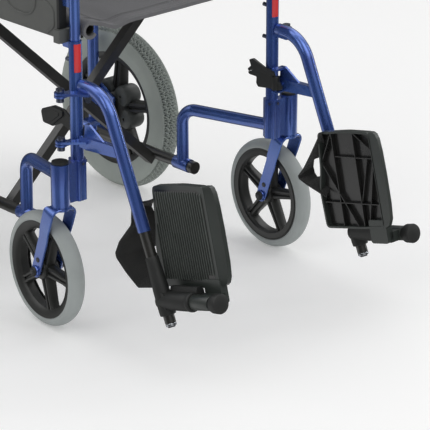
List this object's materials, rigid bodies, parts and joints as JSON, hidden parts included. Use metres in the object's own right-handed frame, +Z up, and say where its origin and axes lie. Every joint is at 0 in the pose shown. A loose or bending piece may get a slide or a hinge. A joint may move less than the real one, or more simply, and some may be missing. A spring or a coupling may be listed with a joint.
{
  "type": "folding transit wheelchair",
  "caption": "Folding attendant-pushed wheelchair with a cross-brace frame, swing-away leg rests shown with plates folded up, swivel casters and spoked rear wheels",
  "frame": {"origin": "on the floor, at the middle of the plan box", "axes": "+Z up, -Y to the front, +X to the sitter's left"},
  "size_m": [0.594, 1.0364, 0.929],
  "materials": {
    "frame_blue": "metallic blue gloss paint",
    "black_paint": "satin black powder coat",
    "black_plastic": "moulded satin black",
    "grey_plastic": "moulded dark grey",
    "panel_grey": "moulded mid grey, fine grain",
    "bright_steel": "plated",
    "dark_steel": "dark coated",
    "red_film": "plain red film",
    "grip_rubber": "soft ribbed grip",
    "tyre_grey": "grey tread rubber",
    "caster_tyre_grey": "smooth light grey",
    "black_webbing": "woven band",
    "pad_black": "vinyl covered foam",
    "cable_black": "sheathed cable",
    "seat_cloth": "coated grey cloth"
  },
  "bodies": {
    "brace_b_body": {"brace_b": "black_paint", "brace_bolt": "bright_steel"},
    "brace_a_body": {"brace_a": "black_paint"},
    "right_frame": {"frame_r": "frame_blue", "frame_caps_r": "black_plastic", "seat_saddles_r": "grey_plastic", "frame_hardware_r": "bright_steel", "post_strip_r": "red_film", "push_grip_r": "grip_rubber", "brake_mount_r": "black_plastic", "brake_cable_r": "cable_black"},
    "right_seat": {"seat_half_r": "seat_cloth"},
    "right_back": {"back_half_r": "seat_cloth"},
    "right_rear_wheel": {"rear_rim_r": "black_plastic", "rear_tyre_r": "tyre_grey"},
    "right_caster": {"caster_fork_r": "frame_blue", "caster_axle_r": "dark_steel"},
    "right_caster_wheel": {"caster_rim_r": "black_plastic", "caster_tyre_r": "caster_tyre_grey"},
    "right_hanger": {"hanger_r": "frame_blue"},
    "right_latch": {"latch_lever_r": "black_plastic"},
    "right_leg_tube": {"foot_tube_r": "black_paint", "foot_tip_r": "bright_steel", "foot_clamp_r": "black_plastic", "foot_knob_r": "black_plastic"},
    "right_footplate": {"footplate_r": "black_plastic", "heel_loop_r": "black_webbing"},
    "right_arm": {"arm_frame_r": "frame_blue", "arm_pad_r": "pad_black", "side_panel_r": "panel_grey"},
    "right_brake_lever": {"brake_lever_r": "dark_steel"},
    "left_frame": {"frame_l": "frame_blue", "frame_caps_l": "black_plastic", "seat_saddles_l": "grey_plastic", "frame_hardware_l": "bright_steel", "post_strip_l": "red_film", "push_grip_l": "grip_rubber", "brake_mount_l": "black_plastic", "brake_cable_l": "cable_black"},
    "left_seat": {"seat_half_l": "seat_cloth"},
    "left_back": {"back_half_l": "seat_cloth"},
    "left_rear_wheel": {"rear_rim_l": "black_plastic", "rear_tyre_l": "tyre_grey"},
    "left_caster": {"caster_fork_l": "frame_blue", "caster_axle_l": "dark_steel"},
    "left_caster_wheel": {"caster_rim_l": "black_plastic", "caster_tyre_l": "caster_tyre_grey"},
    "left_hanger": {"hanger_l": "frame_blue"},
    "left_latch": {"latch_lever_l": "black_plastic"},
    "left_leg_tube": {"foot_tube_l": "black_paint", "foot_tip_l": "bright_steel", "foot_clamp_l": "black_plastic", "foot_knob_l": "black_plastic"},
    "left_footplate": {"footplate_l": "black_plastic", "heel_loop_l": "black_webbing"},
    "left_arm": {"arm_frame_l": "frame_blue", "arm_pad_l": "pad_black", "side_panel_l": "panel_grey"},
    "left_brake_lever": {"brake_lever_l": "dark_steel"}
  },
  "joints": [
    {"name": "fold", "type": "hinge", "parent": "right_frame", "child": "brace_b_body", "pos_m": [-0.182, 0.09524, 0.137], "axis": [0, -1, 0], "range_deg": [0, 39]},
    {"name": "scissor_pivot", "type": "hinge", "parent": "brace_b_body", "child": "brace_a_body", "pos_m": [0, 0.09524, 0.291], "axis": [0, 1, 0], "range_deg": [0, 78]},
    {"name": "left_frame_pivot", "type": "hinge", "parent": "brace_a_body", "child": "left_frame", "pos_m": [0.182, 0.09524, 0.137], "axis": [0, -1, 0], "range_deg": [0, 39]},
    {"name": "right_seat_fold", "type": "hinge", "parent": "brace_a_body", "child": "right_seat", "pos_m": [-0.2, 0.03074, 0.52], "axis": [0, -1, 0], "range_deg": [0, 129.01]},
    {"name": "right_back_fold", "type": "hinge", "parent": "right_frame", "child": "right_back", "pos_m": [-0.223, 0.31924, 0.7], "axis": [0, 0, 1], "range_deg": [0, 67.51]},
    {"name": "right_rear_wheel_spin", "type": "hinge", "parent": "right_frame", "child": "right_rear_wheel", "pos_m": [-0.268, 0.29824, 0.158], "axis": [1, 0, 0], "continuous": true},
    {"name": "right_caster_swivel", "type": "hinge", "parent": "right_frame", "child": "right_caster", "pos_m": [-0.262, -0.16676, 0.26], "axis": [0, 0, 1], "continuous": true},
    {"name": "right_caster_spin", "type": "hinge", "parent": "right_caster", "child": "right_caster_wheel", "pos_m": [-0.25709, -0.12002, 0.1], "axis": [0.9945, -0.1045, 0], "continuous": true},
    {"name": "right_hanger_swing", "type": "hinge", "parent": "right_frame", "child": "right_hanger", "pos_m": [-0.257, -0.16476, 0.37], "axis": [0, 0, 1], "range_deg": [-90, 0]},
    {"name": "right_latch_turn", "type": "hinge", "parent": "right_hanger", "child": "right_latch", "pos_m": [-0.206, -0.19176, 0.34], "axis": [0, 0, 1], "range_deg": [-20, 0]},
    {"name": "right_leg_length", "type": "slide", "parent": "right_hanger", "child": "right_leg_tube", "axis": [0, 0.4067, 0.9135], "range_m": [-0.05, 0]},
    {"name": "right_footplate_flip", "type": "hinge", "parent": "right_leg_tube", "child": "right_footplate", "pos_m": [-0.222, -0.37776, 0.111], "axis": [0, -0.9659, 0.2588], "range_deg": [-90, 0]},
    {"name": "right_arm_flip", "type": "hinge", "parent": "right_frame", "child": "right_arm", "pos_m": [-0.223, 0.26324, 0.708], "axis": [1, 0, 0], "range_deg": [-90, 0]},
    {"name": "right_brake_squeeze", "type": "hinge", "parent": "right_frame", "child": "right_brake_lever", "pos_m": [-0.223, 0.38624, 0.884], "axis": [-1, 0, 0], "range_deg": [-8, 0]},
    {"name": "left_seat_fold", "type": "hinge", "parent": "brace_b_body", "child": "left_seat", "pos_m": [0.2, 0.03074, 0.52], "axis": [0, 1, 0], "range_deg": [0, 129.01]},
    {"name": "left_back_fold", "type": "hinge", "parent": "left_frame", "child": "left_back", "pos_m": [0.223, 0.31924, 0.7], "axis": [0, 0, -1], "range_deg": [0, 67.51]},
    {"name": "left_rear_wheel_spin", "type": "hinge", "parent": "left_frame", "child": "left_rear_wheel", "pos_m": [0.268, 0.29824, 0.158], "axis": [1, 0, 0], "continuous": true},
    {"name": "left_caster_swivel", "type": "hinge", "parent": "left_frame", "child": "left_caster", "pos_m": [0.262, -0.16676, 0.26], "axis": [0, 0, 1], "continuous": true},
    {"name": "left_caster_spin", "type": "hinge", "parent": "left_caster", "child": "left_caster_wheel", "pos_m": [0.26446, -0.11982, 0.1], "axis": [0.9986, -0.0523, 0], "continuous": true},
    {"name": "left_hanger_swing", "type": "hinge", "parent": "left_frame", "child": "left_hanger", "pos_m": [0.257, -0.16476, 0.37], "axis": [0, 0, -1], "range_deg": [-90, 0]},
    {"name": "left_latch_turn", "type": "hinge", "parent": "left_hanger", "child": "left_latch", "pos_m": [0.206, -0.19176, 0.34], "axis": [0, 0, -1], "range_deg": [-20, 0]},
    {"name": "left_leg_length", "type": "slide", "parent": "left_hanger", "child": "left_leg_tube", "axis": [0, 0.4067, 0.9135], "range_m": [-0.05, 0]},
    {"name": "left_footplate_flip", "type": "hinge", "parent": "left_leg_tube", "child": "left_footplate", "pos_m": [0.222, -0.37776, 0.111], "axis": [0, 0.9659, -0.2588], "range_deg": [-90, 0]},
    {"name": "left_arm_flip", "type": "hinge", "parent": "left_frame", "child": "left_arm", "pos_m": [0.223, 0.26324, 0.708], "axis": [1, 0, 0], "range_deg": [-90, 0]},
    {"name": "left_brake_squeeze", "type": "hinge", "parent": "left_frame", "child": "left_brake_lever", "pos_m": [0.223, 0.38624, 0.884], "axis": [-1, 0, 0], "range_deg": [-8, 0]}
  ],
  "couplings": [
    {"joint": "scissor_pivot", "follows": "fold", "ratio": 2},
    {"joint": "left_frame_pivot", "follows": "fold", "ratio": 1},
    {"joint": "right_seat_fold", "follows": "fold", "ratio": 3.3077},
    {"joint": "right_back_fold", "follows": "fold", "ratio": 1.7308},
    {"joint": "left_seat_fold", "follows": "fold", "ratio": 3.3077},
    {"joint": "left_back_fold", "follows": "fold", "ratio": 1.7308}
  ]
}
